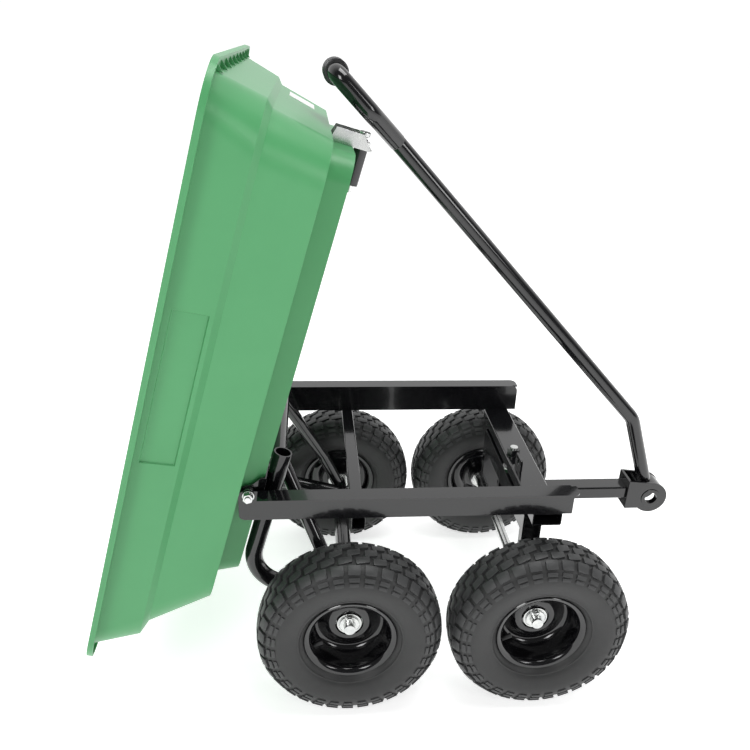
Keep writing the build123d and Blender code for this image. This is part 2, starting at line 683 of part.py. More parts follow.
# ---- pull handle: yoke, bent tube, loop and grip ----
clevis_line = right_face(clevis_x, 0, clevis_z)
handle_dir = Vector(handle_bend_at[0] - clevis_x, 0, handle_bend_at[1] - clevis_z).normalized()
with BuildPart() as handle_yoke:
    bridge_plane = Plane(origin=(clevis_x, 0, clevis_z), x_dir=handle_dir, z_dir=(0, -1, 0))
    with BuildSketch(bridge_plane):
        Circle(yoke_radius)
        Circle(yoke_radius - yoke_sheet, mode=Mode.SUBTRACT)
        with Locations((-yoke_radius / 2 + 4, 0)):
            Rectangle(yoke_radius + 8, 3 * yoke_radius, mode=Mode.SUBTRACT)
    extrude(amount=yoke_half, both=True)
    for side, _ in sides:
        cheek_middle = (clevis_x, side * (yoke_half - yoke_sheet / 2), clevis_z)
        cheek_plane = Plane(origin=cheek_middle, x_dir=handle_dir, z_dir=(0, -1, 0))
        with BuildSketch(cheek_plane):
            Circle(yoke_radius)
            with Locations((-yoke_radius, 0)):
                Rectangle(yoke_radius * 0.76, 2 * yoke_radius, mode=Mode.SUBTRACT)
            Circle(rivet_outer + running_gap, mode=Mode.SUBTRACT)
        extrude(amount=yoke_sheet / 2, both=True)
save(handle_yoke.part, "handle_yoke")

with BuildPart() as handle_tube:
    tube_foot = Vector(clevis_x, 0, clevis_z) + handle_dir * (yoke_radius - 6)
    tube_bend = Vector(handle_bend_at[0], 0, handle_bend_at[1])
    bent_tube([tube_foot, tube_bend, neck_point], handle_bend, handle_radius, tube_wall)
    round_bar(clevis_line, yoke_radius, yoke_half, both=True, mode=Mode.SUBTRACT)
save(handle_tube.part, "handle_tube")

grip_line = right_face(grip_centre[0], 0, grip_centre[1])
loop_length = handle_run.length
with BuildPart() as handle_loop:
    loop_run = ((0, loop_length), (loop_half, loop_length), (loop_half, loop_shoulder), loop_foot)
    loop_points = [loop_plane.from_local_coords((x, y, 0)) for x, y in loop_run]
    bent_tube(loop_points, (grip_bend, loop_bend), loop_radius, tube_wall)
    mirror(about=Plane.XZ)
save(handle_loop.part, "handle_loop")

with BuildPart() as handle_grip:
    round_bar(grip_line, grip_radius, grip_half, both=True, bore=loop_radius)
    grip_ends = handle_grip.edges().filter_by(GeomType.CIRCLE)
    fillet(grip_ends.group_by(SortBy.RADIUS)[-1], 2)
save(handle_grip.part, "handle_grip")


# ---- latch under the tub's front: bracket, barrel, plunger, spring and knob ----
def latch_line(x):
    """The plane across the latch's own axis at a distance along the tub."""
    return tub_front(x, latch_y, latch_z)


plate_front_x = latch_plate_x + latch_plate_sheet
with BuildPart() as latch_bracket:
    width = latch_plate_y[1] - latch_plate_y[0]
    height = latch_plate_z[1] - latch_plate_z[0]
    middle = (sum(latch_plate_y) / 2, sum(latch_plate_z) / 2)
    with BuildSketch(tub_front(latch_plate_x, *middle)):
        Rectangle(width, height)
    extrude(amount=latch_plate_sheet)
    for cheek_y in latch_plate_y:
        inward = 1 if cheek_y == latch_plate_y[0] else -1
        cheek_middle_y = cheek_y + inward * latch_plate_sheet / 2
        with BuildSketch(tub_side(latch_plate_x, cheek_middle_y, 0)):
            with BuildLine():
                Polyline(
                    (0, latch_plate_z[0]), (latch_cheek, latch_plate_z[0] + 14),
                    (latch_cheek, latch_plate_z[1] - 6), (0, latch_plate_z[1]), close=True,
                )
            make_face()
        extrude(amount=latch_plate_sheet / 2, both=True)
    round_bar(latch_line(latch_plate_x), latch_neck_radius, latch_plate_sheet, mode=Mode.SUBTRACT)
    for bolt_y, bolt_z in latch_bolt_spots:
        bolt_hole = tub_front(latch_plate_x, bolt_y, bolt_z)
        round_bar(bolt_hole, tub_bolt_radius, latch_plate_sheet, mode=Mode.SUBTRACT)
save(latch_bracket.part, "latch_bracket")

chamber_rear, chamber_front, chamber_radius = barrel_chamber
with BuildPart() as latch_barrel:
    bore = plunger_radius + running_gap
    round_bar(latch_line(barrel_x[0]), barrel_radius, latch_plate_x - barrel_x[0], bore=bore)
    round_bar(latch_line(latch_plate_x), latch_neck_radius, latch_neck_x - latch_plate_x, bore=bore)
    round_bar(latch_line(chamber_rear), chamber_radius, chamber_front - chamber_rear, mode=Mode.SUBTRACT)
save(latch_barrel.part, "latch_barrel")

with BuildPart() as latch_nut:
    hex_bar(latch_line(plate_front_x), latch_nut_flats, latch_nut_height, bore=latch_neck_radius)
save(latch_nut.part, "latch_nut")

with BuildPart() as latch_plunger:
    round_bar(latch_line(plunger_x[0]), plunger_radius, plunger_x[1] - plunger_x[0])
    round_bar(latch_line(chamber_rear + side_gap), chamber_radius - 0.3, plunger_collar)
save(latch_plunger.part, "latch_plunger")

with BuildPart() as latch_knob:
    round_bar(latch_line(knob_x[0]), knob_radius, knob_x[1] - knob_x[0], bore=plunger_radius)
    fillet(latch_knob.edges().filter_by(GeomType.CIRCLE).group_by(SortBy.RADIUS)[-1], 1.5)
save(latch_knob.part, "latch_knob")

spring_rear = chamber_rear + side_gap + plunger_collar
spring_length = chamber_front - spring_rear - 2 * spring_wire
with BuildPart() as latch_spring:
    spring_radius = chamber_radius - spring_wire - 0.4
    spring_start = latch_line(spring_rear + spring_wire)
    with BuildLine() as coil:
        Helix(
            pitch=spring_length / spring_turns, height=spring_length, radius=spring_radius,
            center=spring_start.origin, direction=spring_start.z_dir,
        )
    with BuildSketch(Plane(origin=coil.line @ 0, z_dir=coil.line % 0)) as wire:
        Circle(spring_wire)
    sweep(wire.sketch, path=coil.line, is_frenet=True)
save(latch_spring.part, "latch_spring")

with BuildPart() as latch_bolts:
    for bolt_y, bolt_z in latch_bolt_spots:
        inside = tub_front(latch_plate_x - tub_wall, bolt_y, bolt_z)
        round_bar(inside, tub_bolt_radius, tub_wall + latch_plate_sheet + 7)
        round_bar(inside, bolt_head_radius, -bolt_head_height)
        hex_bar(tub_front(plate_front_x, bolt_y, bolt_z), *latch_bolt_head)
save(latch_bolts.part, "latch_bolts")
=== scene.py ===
import json
import logging
import math
from dataclasses import dataclass, field
from enum import Enum
from typing import Callable, Iterable, Sequence

import bpy
from mathutils import Matrix, Vector


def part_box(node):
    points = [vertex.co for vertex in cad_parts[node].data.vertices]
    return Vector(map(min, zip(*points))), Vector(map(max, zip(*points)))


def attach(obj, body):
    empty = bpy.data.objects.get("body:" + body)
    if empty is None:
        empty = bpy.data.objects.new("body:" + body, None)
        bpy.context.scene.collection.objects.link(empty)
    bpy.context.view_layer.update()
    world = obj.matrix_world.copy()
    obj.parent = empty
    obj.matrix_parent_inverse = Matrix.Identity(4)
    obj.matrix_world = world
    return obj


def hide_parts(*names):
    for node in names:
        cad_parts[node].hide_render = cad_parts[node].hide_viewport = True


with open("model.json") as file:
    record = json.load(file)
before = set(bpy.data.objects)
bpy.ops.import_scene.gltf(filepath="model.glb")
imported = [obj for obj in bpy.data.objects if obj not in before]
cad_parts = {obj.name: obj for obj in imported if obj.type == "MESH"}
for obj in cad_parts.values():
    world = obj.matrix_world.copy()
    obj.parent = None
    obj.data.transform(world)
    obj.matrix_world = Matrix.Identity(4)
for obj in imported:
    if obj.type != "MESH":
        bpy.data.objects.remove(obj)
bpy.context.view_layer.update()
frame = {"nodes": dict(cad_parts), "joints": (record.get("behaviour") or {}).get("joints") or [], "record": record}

log = logging.getLogger("garden_cart")
Point = tuple[float, float, float]
Line = Sequence[tuple[float, float]]
MM = 0.001
SAME_PLACE = 0.001 * MM


# ---------------------------------------------------------------------------
# Workbench: small steps that every piece is made with
# ---------------------------------------------------------------------------
def clear_selection() -> None:
    """Leaves edit mode and deselects every object."""
    if bpy.context.object and bpy.context.object.mode != "OBJECT":
        bpy.ops.object.mode_set(mode="OBJECT")
    bpy.ops.object.select_all(action="DESELECT")


def take(piece: bpy.types.Object) -> bpy.types.Object:
    """Makes one object the selected and active one.

    Args:
        piece: The object to work on.

    Returns:
        The same object.
    """
    clear_selection()
    piece.select_set(True)
    bpy.context.view_layer.objects.active = piece
    return piece


def edit(piece: bpy.types.Object, *steps: Callable[[], object]) -> None:
    """Runs steps in edit mode with the whole mesh selected.

    Args:
        piece: The mesh object.
        steps: Calls to make one after the other.
    """
    take(piece)
    bpy.ops.object.mode_set(mode="EDIT")
    bpy.ops.mesh.select_all(action="SELECT")
    for step in steps:
        step()
    bpy.ops.object.mode_set(mode="OBJECT")


def modify(piece: bpy.types.Object, kind: str, **settings: object) -> None:
    """Adds a modifier and applies it.

    Args:
        piece: The mesh object.
        kind: The modifier's type.
        settings: Its values.
    """
    take(piece)
    modifier = piece.modifiers.new(kind.lower(), kind)
    for key, value in settings.items():
        setattr(modifier, key, value)
    bpy.ops.object.modifier_apply(modifier=modifier.name)


def fix_place(piece: bpy.types.Object) -> bpy.types.Object:
    """Puts an object's place, turn and size into its mesh and returns it."""
    take(piece)
    bpy.ops.object.transform_apply(location=True, rotation=True, scale=True)
    return piece


def joined(pieces: Sequence[bpy.types.Object], name: str) -> bpy.types.Object:
    """Joins several objects into one.

    Args:
        pieces: The objects, all at the origin.
        name: The result's name.

    Returns:
        The joined object.
    """
    clear_selection()
    for piece in pieces:
        piece.select_set(True)
    bpy.context.view_layer.objects.active = pieces[0]
    if len(pieces) > 1:
        bpy.ops.object.join()
    result = bpy.context.view_layer.objects.active
    result.name = name
    return result


def linked(name: str, content: bpy.types.ID) -> bpy.types.Object:
    """Makes an object of a mesh, a light or a camera and puts it into the scene."""
    piece = bpy.data.objects.new(name, content)
    bpy.context.collection.objects.link(piece)
    return piece


def copied(piece: bpy.types.Object, name: str, move: Matrix) -> bpy.types.Object:
    """Copies an object with its own mesh and moves the copy's vertices.

    Args:
        piece: The object to copy.
        name: The copy's name.
        move: The matrix for the copy's vertices.

    Returns:
        The copy, at the origin.
    """
    mesh = piece.data.copy()
    mesh.transform(move)
    return linked(name, mesh)


def smooth(piece: bpy.types.Object, degrees: float = 35.0) -> None:
    """Shades a piece smooth except over edges sharper than an angle."""
    take(piece)
    bpy.ops.object.shade_smooth_by_angle(angle=math.radians(degrees))


def spun(name: str, outline: Line, steps: int) -> bpy.types.Object:
    """Turns a closed outline about the cross axis through the origin.

    Args:
        name: The object's name.
        outline: Points as (offset along Y, radius); the last one joins the first.
        steps: How many steps make the full turn.

    Returns:
        The turned object.
    """
    clear_selection()
    bpy.ops.mesh.primitive_plane_add(size=MM, location=(0, 0, 0))
    piece = bpy.context.object
    piece.name = name
    bpy.ops.object.mode_set(mode="EDIT")
    bpy.ops.mesh.select_mode(type="VERT")
    bpy.ops.mesh.select_all(action="SELECT")
    bpy.ops.mesh.merge(type="CENTER")
    bpy.ops.transform.translate(value=(0, outline[0][0], outline[0][1]))
    for before, after in zip(outline, outline[1:]):
        step = (0, after[0] - before[0], after[1] - before[1])
        bpy.ops.mesh.extrude_vertices_move(TRANSFORM_OT_translate={"value": step})
    bpy.ops.mesh.select_all(action="DESELECT")
    bpy.ops.object.mode_set(mode="OBJECT")
    piece.data.vertices[0].select = True
    piece.data.vertices[len(outline) - 1].select = True
    bpy.ops.object.mode_set(mode="EDIT")
    bpy.ops.mesh.edge_face_add()
    bpy.ops.mesh.select_all(action="SELECT")
    bpy.ops.mesh.spin(steps=steps, angle=math.tau, center=(0, 0, 0), axis=(0, 1, 0))
    bpy.ops.mesh.select_all(action="SELECT")
    bpy.ops.mesh.remove_doubles(threshold=SAME_PLACE)
    bpy.ops.mesh.normals_make_consistent(inside=False)
    bpy.ops.object.mode_set(mode="OBJECT")
    return piece


def rounded(points: Line, count: int) -> list[tuple[float, float]]:
    """A smooth line through points, by Catmull and Rom's formula.

    Args:
        points: The points that the line passes.
        count: How many steps lie between two points.

    Returns:
        The finer line.
    """
    ends = [points[0], *points, points[-1]]
    line = []
    for a, b, c, d in zip(ends, ends[1:], ends[2:], ends[3:]):
        for i in range(count):
            t = i / count
            line.append(tuple(
                0.5 * (
                    2 * q + (r - p) * t
                    + (2 * p - 5 * q + 4 * r - s) * t**2
                    + (3 * q - p - 3 * r + s) * t**3
                )
                for p, q, r, s in zip(a, b, c, d)
            ))
    line.append(points[-1])
    return line


def node_middle(node: str) -> Vector:
    """The middle of a CAD node's box."""
    low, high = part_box(node)
    return (Vector(low) + Vector(high)) / 2


def joint_named(name: str) -> dict:
    """The frame's joint of that name."""
    return next(joint for joint in frame["joints"] if joint["name"] == name)


# ---------------------------------------------------------------------------
# Finishes
# ---------------------------------------------------------------------------
class Slot(Enum):
    """The record's material slots, one for each finish."""

    GREEN_TUB = "green_tub"
    LABEL_FILM = "label_film"
    BLACK_ENAMEL = "black_enamel"
    ZINC_PLATE = "zinc_plate"
    SPRING_STEEL = "spring_steel"
    BLACK_GRIP = "black_grip"
    TYRE_RUBBER = "tyre_rubber"
    TUBE_RUBBER = "tube_rubber"


@dataclass(frozen=True)
class Finish:
    """A material with a broken-up colour, uneven roughness, a fine bump and an optional painted highlight along
    convex edges.
    """

    name: str
    slot: Slot
    colour: tuple[float, float, float]
    shade: tuple[float, float, float]
    patch_scale: float
    roughness: tuple[float, float]
    grain_scale: float
    grain_depth: float
    grain_strength: float = 0.3
    metallic: float = 0.0
    coat: float = 0.0
    coat_roughness: float = 0.05
    specular: float = 0.5
    # Colour of the painted edge highlight on convex edges, and the pointiness range it fades in over.
    painted_edge_highlight: tuple[float, float, float] | None = None
    painted_highlight_from: float = 0.52
    painted_highlight_full: float = 0.62

    def build(self) -> bpy.types.Material:
        """Makes the node material.

        Returns:
            The material, ready for a slot.
        """
        material = bpy.data.materials.new(self.name)
        material.use_nodes = True
        nodes, links = material.node_tree.nodes, material.node_tree.links
        shader = nodes["Principled BSDF"]
        shader.inputs["Metallic"].default_value = self.metallic
        shader.inputs["Coat Weight"].default_value = self.coat
        shader.inputs["Coat Roughness"].default_value = self.coat_roughness
        shader.inputs["Specular IOR Level"].default_value = self.specular
        place = nodes.new("ShaderNodeTexCoord")
        patches = nodes.new("ShaderNodeTexNoise")
        patches.inputs["Scale"].default_value = self.patch_scale
        patches.inputs["Detail"].default_value = 6.0
        patches.inputs["Roughness"].default_value = 0.62
        links.new(place.outputs["Object"], patches.inputs["Vector"])
        tone = nodes.new("ShaderNodeValToRGB")
        tone.color_ramp.elements[0].position = 0.32
        tone.color_ramp.elements[1].position = 0.68
        tone.color_ramp.elements[0].color = (*self.shade, 1)
        tone.color_ramp.elements[1].color = (*self.colour, 1)
        links.new(patches.outputs["Fac"], tone.inputs["Fac"])
        base = tone.outputs["Color"]
        # Painted edge highlight: a lighter grey mixed in along convex edges.
        if self.painted_edge_highlight:
            base = self.add_painted_highlight(nodes, links, base)
        links.new(base, shader.inputs["Base Color"])
        gloss = nodes.new("ShaderNodeMapRange")
        gloss.inputs["To Min"].default_value = self.roughness[0]
        gloss.inputs["To Max"].default_value = self.roughness[1]
        links.new(patches.outputs["Fac"], gloss.inputs["Value"])
        links.new(gloss.outputs["Result"], shader.inputs["Roughness"])
        grain = nodes.new("ShaderNodeTexNoise")
        grain.inputs["Scale"].default_value = self.grain_scale
        grain.inputs["Detail"].default_value = 3.0
        links.new(place.outputs["Object"], grain.inputs["Vector"])
        bump = nodes.new("ShaderNodeBump")
        bump.inputs["Strength"].default_value = self.grain_strength
        bump.inputs["Distance"].default_value = self.grain_depth
        links.new(grain.outputs["Fac"], bump.inputs["Height"])
        links.new(bump.outputs["Normal"], shader.inputs["Normal"])
        return material

    def add_painted_highlight(
        self, nodes: bpy.types.Nodes, links: bpy.types.NodeLinks, base: bpy.types.NodeSocket
    ) -> bpy.types.NodeSocket:
        """Mixes in a lighter grey along convex edges as a painted edge highlight.

        Args:
            nodes: The material's nodes.
            links: The material's links.
            base: The colour socket so far.

        Returns:
            The mixed colour's socket.
        """
        geometry = nodes.new("ShaderNodeNewGeometry")
        edge = nodes.new("ShaderNodeMapRange")
        edge.inputs["From Min"].default_value = self.painted_highlight_from
        edge.inputs["From Max"].default_value = self.painted_highlight_full
        links.new(geometry.outputs["Pointiness"], edge.inputs["Value"])
        mix = nodes.new("ShaderNodeMix")
        mix.data_type = "RGBA"
        links.new(edge.outputs["Result"], mix.inputs["Factor"])
        links.new(base, mix.inputs["A"])
        mix.inputs["B"].default_value = (*self.painted_edge_highlight, 1)
        return mix.outputs["Result"]


GREEN_TUB = Finish(
    "moulded_green", Slot.GREEN_TUB, (0.085, 0.345, 0.135), (0.074, 0.318, 0.120), 5.0,
    (0.30, 0.40), 900.0, 0.0004, 0.12, specular=0.45,
)
LABEL = Finish(
    "blank_label", Slot.LABEL_FILM, (0.90, 0.90, 0.89), (0.86, 0.86, 0.85), 40.0,
    (0.25, 0.35), 300.0, 0.0002, 0.05,
)
ENAMEL = Finish(
    "black_enamel", Slot.BLACK_ENAMEL, (0.007, 0.007, 0.008), (0.004, 0.004, 0.005), 9.0,
    (0.10, 0.17), 420.0, 0.0003, 0.05, coat=0.45, coat_roughness=0.04,
)
ZINC = Finish(
    "bright_zinc", Slot.ZINC_PLATE, (0.74, 0.75, 0.73), (0.56, 0.57, 0.57), 60.0,
    (0.16, 0.28), 300.0, 0.0002, 0.05, metallic=1.0,
)
SPRING = Finish(
    "spring_wire", Slot.SPRING_STEEL, (0.40, 0.40, 0.41), (0.30, 0.30, 0.31), 90.0,
    (0.3, 0.4), 600.0, 0.0002, 0.1, metallic=1.0,
)
GRIP = Finish(
    "grip_sleeve", Slot.BLACK_GRIP, (0.022, 0.022, 0.024), (0.016, 0.016, 0.018), 60.0,
    (0.26, 0.34), 800.0, 0.0003, 0.15, specular=0.7,
)
# The tyre's lighter convex edges are a painted edge highlight.
TYRE = Finish(
    "tyre_rubber", Slot.TYRE_RUBBER, (0.026, 0.026, 0.026), (0.017, 0.0175, 0.018), 30.0,
    (0.42, 0.56), 520.0, 0.0005, 0.25, specular=0.5, painted_edge_highlight=(0.048, 0.049, 0.050),
)
TUBE_RUBBER = Finish(
    "butyl_rubber", Slot.TUBE_RUBBER, (0.018, 0.018, 0.019), (0.012, 0.012, 0.013), 50.0,
    (0.45, 0.55), 500.0, 0.0003, 0.15,
)
FINISHES = (GREEN_TUB, LABEL, ENAMEL, ZINC, SPRING, GRIP, TYRE, TUBE_RUBBER)


class Wardrobe:
    """Holds the built materials and dresses pieces with them."""

    def __init__(self, finishes: Iterable[Finish]) -> None:
        """Builds every finish once."""
        self.materials = {finish.slot: finish.build() for finish in finishes}

    def dress(self, piece: bpy.types.Object, slot: Slot) -> None:
        """Gives a new piece one finish all over.

        Args:
            piece: The mesh object.
            slot: The record's material slot.
        """
        piece.data.materials.clear()
        piece.data.materials.append(self.materials[slot])

    def dress_nodes(self) -> None:
        """Gives every CAD node its slot's finish."""
        for row in frame["record"]["subparts"]:
            node = frame["nodes"].get(row["node"])
            if node is None:
                continue
            for slot in node.material_slots:
                slot.material = self.materials[Slot(row["material_slot"])]


# ---------------------------------------------------------------------------
# Steel and zinc pieces, refined from their nodes
# ---------------------------------------------------------------------------
@dataclass
class RefinedNode:
    """A copy of a CAD node with merged faces, broken edges and smooth curves."""

    node: str
    body: str
    slot: Slot
    edge_radius: float = 0.7 * MM
    edge_angle: float = 38.0
    merge_distance: float = 0.002 * MM
    flat_angle: float = 1.0
    smooth_angle: float = 30.0

    def build(self, wardrobe: Wardrobe) -> bpy.types.Object:
        """Makes the copy, dresses it and stands it in for its node.

        Args:
            wardrobe: The finishes.

        Returns:
            The new piece.
        """
        piece = copied(frame["nodes"][self.node], f"{self.node}_finished", Matrix.Identity(4))
        edit(
            piece,
            lambda: bpy.ops.mesh.remove_doubles(threshold=self.merge_distance),
            lambda: bpy.ops.mesh.dissolve_limited(angle_limit=math.radians(self.flat_angle)),
        )
        modify(
            piece, "BEVEL", width=self.edge_radius, segments=2, limit_method="ANGLE",
            angle_limit=math.radians(self.edge_angle), use_clamp_overlap=True,
        )
        smooth(piece, self.smooth_angle)
        modify(piece, "WEIGHTED_NORMAL", keep_sharp=True, weight=50)
        wardrobe.dress(piece, self.slot)
        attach(piece, self.body)
        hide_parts(self.node)
        return piece


# ---------------------------------------------------------------------------
# Tub
# ---------------------------------------------------------------------------
@dataclass(frozen=True)
class TubLevel:
    """One level outline of the tub: a rounded rectangle in the tub's own directions."""

    height: float
    rear: float
    front: float
    half: float
    radius: float


@dataclass
class Tub:
    """The moulded tub: base, ledge, body, step, band and rolled rim."""

    levels: tuple[TubLevel, ...] = (
        TubLevel(-16.0, -146.0, 460.0, 149.0, 34.0),
        TubLevel(16.0, -160.0, 460.0, 151.0, 35.0),
        TubLevel(16.0, -160.0, 473.0, 214.0, 52.0),
        TubLevel(87.0, -209.0, 488.0, 230.0, 58.0),
        TubLevel(94.5, -228.0, 497.0, 237.5, 60.0),
        TubLevel(150.4, -239.4, 509.2, 248.4, 46.0),
        TubLevel(150.4, -248.9, 519.9, 257.9, 48.4),
        TubLevel(146.6, -248.9, 519.9, 257.9, 48.4),
    )
    corner_steps: int = 14
    wall: float = 3.6
    edge_radius: float = 2.2
    panel: tuple[float, float, float, float] = (70.0, 266.0, 99.5, 140.0)
    gussets: int = 9
    gusset_depth: float = 9.0
    panel_depth: float = 2.2
    panel_edge: float = 0.9
    body: str = "tub_carriage"
    rise: float = 10.0
    fold_angle: float = 14.0
    band_foot: int = 4
    band_head: int = 5
    lip: int = 6
    to_cart: Matrix = field(default_factory=Matrix)

    def __post_init__(self) -> None:
        """Works out the tub's own directions from the frame's joints."""
        pivot = Vector(joint_named("tub_tip")["pos_m"])
        along = Vector(joint_named("latch_pull")["axis"]).normalized()
        over = along.cross(Vector((0, 1, 0)))
        turn = Matrix((along, Vector((0, 1, 0)), over)).transposed().to_4x4()
        self.to_cart = Matrix.Translation(pivot) @ turn

    def outline(self, level: TubLevel) -> list[Point]:
        """The points of a level, counter-clockwise, each corner in equal steps.

        Args:
            level: The level's sizes in millimetres.

        Returns:
            Points in the tub's own directions, in metres.
        """
        points = []
        corners = (
            (level.front - level.radius, level.half - level.radius, 0),
            (level.rear + level.radius, level.half - level.radius, 90),
            (level.rear + level.radius, level.radius - level.half, 180),
            (level.front - level.radius, level.radius - level.half, 270),
        )
        for x, y, start in corners:
            for i in range(self.corner_steps + 1):
                turn = math.radians(start + 90 * i / self.corner_steps)
                point = (x + level.radius * math.cos(turn), y + level.radius * math.sin(turn), level.height)
                points.append(tuple(c * MM for c in point))
        return points

    def skin(self) -> bpy.types.Object:
        """Extrudes the tub's outer skin up through its levels from the base's outline.

        Returns:
            The skin, still without thickness, in the tub's own directions.
        """
        first = self.outline(self.levels[0])
        clear_selection()
        bpy.ops.mesh.primitive_circle_add(
            vertices=len(first), radius=0.1, fill_type="NGON", location=(0, 0, 0),
        )
        skin = bpy.context.object
        skin.name = "tub_moulding"
        self.set_ring(skin, 0, first)
        for index, level in enumerate(self.levels[1:], 1):
            bpy.ops.object.mode_set(mode="EDIT")
            bpy.ops.mesh.select_mode(type="EDGE")
            if index == 1:
                bpy.ops.mesh.select_all(action="SELECT")
                bpy.ops.mesh.region_to_loop()
            bpy.ops.mesh.extrude_edges_move(TRANSFORM_OT_translate={"value": (0, 0, self.rise * MM)})
            bpy.ops.object.mode_set(mode="OBJECT")
            self.set_ring(skin, index * len(first), self.outline(level))
        return skin

    def set_ring(self, skin: bpy.types.Object, start: int, points: Sequence[Point]) -> None:
        """Moves one ring of vertices to a level's outline.

        Args:
            skin: The tub's skin.
            start: The ring's first vertex.
            points: Where its vertices go, taken by their order round the tub.
        """
        ring = skin.data.vertices[start:start + len(points)]
        if start == 0:
            in_order = sorted(ring, key=lambda vertex: math.atan2(vertex.co.y, vertex.co.x) % math.tau)
            for vertex, point in zip(in_order, points):
                vertex.co = point
            return
        below = self.outline(self.levels[start // len(points) - 1])
        before = [Vector(point) + Vector((0, 0, self.rise * MM)) for point in below]
        for vertex in ring:
            nearest = min(range(len(before)), key=lambda i: (before[i] - vertex.co).length)
            vertex.co = points[nearest]

    def build(self, wardrobe: Wardrobe) -> list[bpy.types.Object]:
        """Makes the tub and the gussets under its rim.

        Args:
            wardrobe: The finishes.

        Returns:
            The pieces.
        """
        skin = self.skin()
        edit(skin, lambda: bpy.ops.mesh.normals_make_consistent(inside=False))
        side = max(
            skin.data.polygons, key=lambda face: face.area * abs(face.normal.y) * (face.center.y > 0),
        )
        if side.normal.y < 0:
            edit(skin, bpy.ops.mesh.flip_normals)
        self.press_panels(skin)
        modify(skin, "SOLIDIFY", thickness=self.wall * MM, offset=-1.0, use_even_offset=True)
        modify(
            skin, "BEVEL", width=self.edge_radius * MM, segments=3, limit_method="ANGLE",
            angle_limit=math.radians(self.fold_angle), use_clamp_overlap=True,
        )
        skin.data.transform(self.to_cart)
        smooth(skin, 40.0)
        modify(skin, "WEIGHTED_NORMAL", keep_sharp=True, weight=50)
        wardrobe.dress(skin, Slot.GREEN_TUB)
        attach(skin, self.body)
        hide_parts("tub")
        return [skin, *self.lip_gussets(wardrobe)]

    def lip_gussets(self, wardrobe: Wardrobe) -> list[bpy.types.Object]:
        """Models one triangular gusset under the rolled rim and repeats it along the front.

        Args:
            wardrobe: The finishes.

        Returns:
            The joined gussets.
        """
        wall, lip = self.levels[self.band_head], self.levels[self.lip]
        depth, reach = self.gusset_depth, (lip.front - wall.front) * 0.8
        clear_selection()
        bpy.ops.mesh.primitive_cube_add(size=1.0, location=(0, 0, 0))
        gusset = bpy.context.object
        gusset.scale = (reach * MM, self.wall * 0.6 * MM, depth * MM)
        fix_place(gusset)
        bpy.ops.object.mode_set(mode="EDIT")
        bpy.ops.mesh.select_all(action="SELECT")
        bpy.ops.mesh.bisect(
            plane_co=(0, 0, 0), plane_no=(depth, 0, -reach), use_fill=True, clear_outer=True,
        )
        bpy.ops.object.mode_set(mode="OBJECT")
        modify(
            gusset, "BEVEL", width=0.3 * MM, segments=2, limit_method="ANGLE", angle_limit=math.radians(30),
        )
        spread = wall.half - wall.radius
        made = []
        for i in range(self.gussets):
            across = spread * (2 * i / (self.gussets - 1) - 1)
            place = Vector((wall.front + reach / 2 - 0.8, across, wall.height - depth / 2)) * MM
            made.append(copied(gusset, "lip_gusset", self.to_cart @ Matrix.Translation(place)))
        bpy.data.objects.remove(gusset)
        row = joined(made, "lip_gussets")
        smooth(row, 30.0)
        wardrobe.dress(row, Slot.GREEN_TUB)
        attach(row, self.body)
        return [row]

    def press_panels(self, skin: bpy.types.Object) -> None:
        """Presses the recessed panel into the band of each long side.

        Args:
            skin: The tub's skin, in its own directions.
        """
        x0, x1, z0, z1 = (value * MM for value in self.panel)
        low, high = self.levels[self.band_foot], self.levels[self.band_head]
        cuts = (
            ((x0, 0, 0), (1, 0, 0)), ((x1, 0, 0), (1, 0, 0)), ((0, 0, z0), (0, 0, 1)), ((0, 0, z1), (0, 0, 1)),
        )

        def on_band(face: bpy.types.MeshPolygon) -> bool:
            """Whether a face lies on the upper band of a long side."""
            return (
                low.height * MM < face.center.z < high.height * MM
                and abs(face.normal.y) > 0.9
                and abs(face.center.y) < high.half * MM
            )

        for spot, normal in cuts:
            self.pick_faces(skin, on_band)
            bpy.ops.mesh.bisect(plane_co=spot, plane_no=normal)
            bpy.ops.object.mode_set(mode="OBJECT")
        self.pick_faces(
            skin, lambda face: on_band(face) and x0 < face.center.x < x1 and z0 < face.center.z < z1,
        )
        bpy.ops.mesh.inset(
            thickness=self.panel_edge * MM, depth=-self.panel_depth * MM, use_individual=True,
        )
        bpy.ops.object.mode_set(mode="OBJECT")

    def pick_faces(
        self, skin: bpy.types.Object, wanted: Callable[[bpy.types.MeshPolygon], bool]
    ) -> None:
        """Enters edit mode with only the wanted faces selected.

        Args:
            skin: The mesh object.
            wanted: Says whether a face is wanted.
        """
        take(skin)
        bpy.ops.object.mode_set(mode="EDIT")
        bpy.ops.mesh.select_mode(type="FACE")
        bpy.ops.mesh.select_all(action="DESELECT")
        bpy.ops.object.mode_set(mode="OBJECT")
        for face in skin.data.polygons:
            face.select = wanted(face)
        bpy.ops.object.mode_set(mode="EDIT")


# ---------------------------------------------------------------------------
# Wheels
# ---------------------------------------------------------------------------
@dataclass
class LugRow:
    """One row of tread blocks: its place across the tread and its blocks' size."""

    across: float
    width: float
    length: float
    height: float
    offset: float
    step: float = 0.0
    both_sides: bool = True


